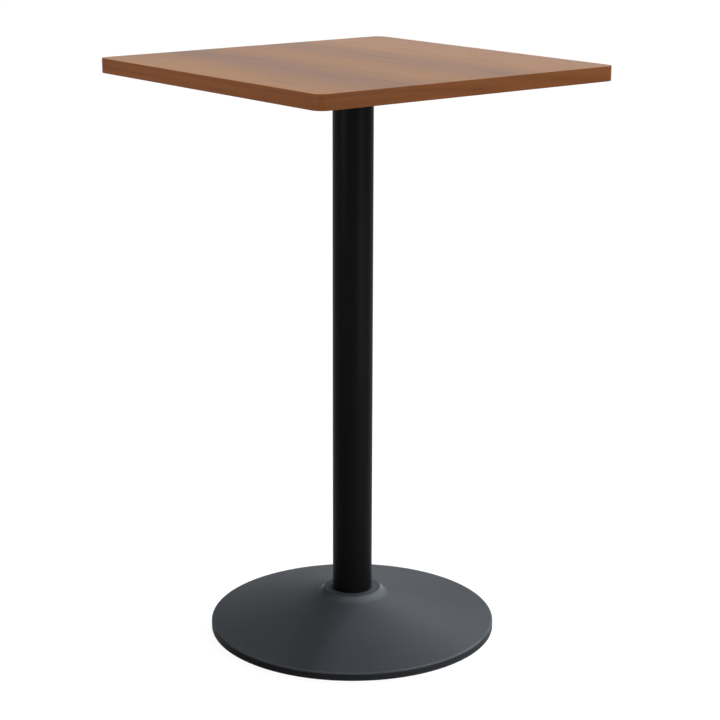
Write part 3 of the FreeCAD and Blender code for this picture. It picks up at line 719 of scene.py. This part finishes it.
AMBIENT = 0.12
FLOOR_GLOW = 0.94
FLOOR_GLOW_REACH = (0.6, 2.6)
FLOOR_COLOUR = (0.14, 0.14, 0.14, 1.0)
FLOOR_REACH = 40.0


def seen_directly(tree):
    """One for rays that show the background in the picture, in gloss or through glass."""
    path = add_node(tree, "LightPath").outputs
    glossy = calculate(tree, "MAXIMUM", path["Is Glossy Ray"], path["Is Transmission Ray"])
    return calculate(tree, "MAXIMUM", path["Is Camera Ray"], glossy)


def make_world():
    """White where it is seen, and a lower even light on the object."""
    world = bpy.data.worlds.new("studio")
    scene.world = world
    world.use_nodes = True
    tree = world.node_tree
    strength = remap(tree, seen_directly(tree), RISING, (AMBIENT, 1.0))
    background = tree.nodes["Background"]
    background.inputs["Color"].default_value = (1.0, 1.0, 1.0, 1.0)
    tree.links.new(strength, background.inputs["Strength"])


def floor_material():
    """White where it is seen, shadowed near the table, and clear from below."""
    material = bpy.data.materials.new("floor")
    material.use_nodes = True
    tree = material.node_tree
    tree.nodes.remove(tree.nodes["Principled BSDF"])
    place = add_node(tree, "TexCoord").outputs["Object"]
    away = add_node(tree, "VectorMath", {0: place}, operation="LENGTH").outputs["Value"]
    glow_level = remap(tree, away, FLOOR_GLOW_REACH, (FLOOR_GLOW, 1.0))
    glow = add_node(tree, "Emission", {"Strength": product(tree, seen_directly(tree), glow_level)})
    matt = add_node(tree, "BsdfDiffuse", {"Color": FLOOR_COLOUR})
    both = add_node(tree, "AddShader", {0: glow.outputs[0], 1: matt.outputs[0]})
    below = add_node(tree, "NewGeometry").outputs["Backfacing"]
    clear = add_node(tree, "BsdfTransparent")
    one_sided = add_node(tree, "MixShader", {0: below, 1: both.outputs[0], 2: clear.outputs[0]})
    tree.links.new(one_sided.outputs[0], tree.nodes["Material Output"].inputs["Surface"])
    return material


def make_floor():
    """A plain wide floor that keeps the table's shadow."""
    mesh = bmesh.new()
    bmesh.ops.create_grid(mesh, x_segments=1, y_segments=1, size=FLOOR_REACH)
    data = bpy.data.meshes.new("floor")
    mesh.to_mesh(data)
    mesh.free()
    data.materials.append(floor_material())
    floor = bpy.data.objects.new("floor", data)
    scene.collection.objects.link(floor)


WHITE = (1.0, 1.0, 1.0)
COOL = (0.93, 1.0, 1.1)
LAMP_DISTANCE = 4.5
LAMP_STEPS = 16
BARE_LAMP_SPREAD = 180
BAND_AIM = 1.085
# Lamps behind and beside the table: azimuth, elevation and level
KEYS = ((88, 30, 0.30), (112, 32, 0.36), (134, 40, 0.45), (156, 36, 0.84))


def beam_gain(size, distance, spread):
    """How much more light a grid sends to the middle of its beam than a bare lamp would."""
    if spread >= BARE_LAMP_SPREAD:
        return 1.0
    half_spread = math.radians(spread / 2)
    slope = math.tan(half_spread)
    offsets = [(step + 0.5) / LAMP_STEPS - 0.5 for step in range(LAMP_STEPS)]
    shares = []
    for u in offsets:
        for v in offsets:
            off_axis = math.hypot(u * size[0], v * size[1])
            shares.append(max(0.0, 1 - off_axis / (distance * slope)))
    return slope / (slope - half_spread) * sum(shares) / len(shares)


def softbox(name, azimuth, elevation, level, size, aim,
            distance=LAMP_DISTANCE, spread=BARE_LAMP_SPREAD, colour=WHITE):
    """A soft lamp that lights the height it aims at to a level, where 1 shows white as white.

    The azimuth is counted from the camera to its right; angles are in degrees.
    """
    data = bpy.data.lights.new(name, "AREA")
    data.shape = "RECTANGLE"
    data.size = size[0]
    data.size_y = size[1]
    data.color = colour
    data.spread = math.radians(spread)
    data.energy = level * 4 * math.pi * distance ** 2 / beam_gain(size, distance, spread)
    lamp = bpy.data.objects.new(name, data)
    rise = math.radians(elevation)
    offset = towards(CAMERA_AZIMUTH + azimuth) * math.cos(rise)
    offset.z = math.sin(rise)
    lamp.location = Vector((0.0, 0.0, aim)) + offset * distance
    lamp.rotation_euler = (-offset).to_track_quat("-Z", "Y").to_euler()
    scene.collection.objects.link(lamp)


make_camera()
make_world()
make_floor()
for azimuth, elevation, level in KEYS:
    softbox(f"key_{azimuth}", azimuth, elevation, level, size=(1.1, 1.1), aim=0.0, spread=16, colour=COOL)
softbox("boss", azimuth=60, elevation=36, level=0.5, size=(0.3, 0.3), aim=0.075, spread=5, colour=COOL)
softbox("column", azimuth=50, elevation=3, level=0.55, size=(0.4, 0.4), aim=0.5, spread=12)
softbox("fill", azimuth=48, elevation=8, level=0.62, size=(1.0, 1.0), aim=BAND_AIM, spread=44)
softbox("overhead", azimuth=0, elevation=86, level=0.62, size=(1.5, 1.5), aim=1.0, distance=4.0)
softbox("edge", azimuth=-56, elevation=5, level=0.56, size=(1.0, 0.4), aim=BAND_AIM, spread=40,
        distance=3.5)
scene.view_settings.view_transform = "Standard"
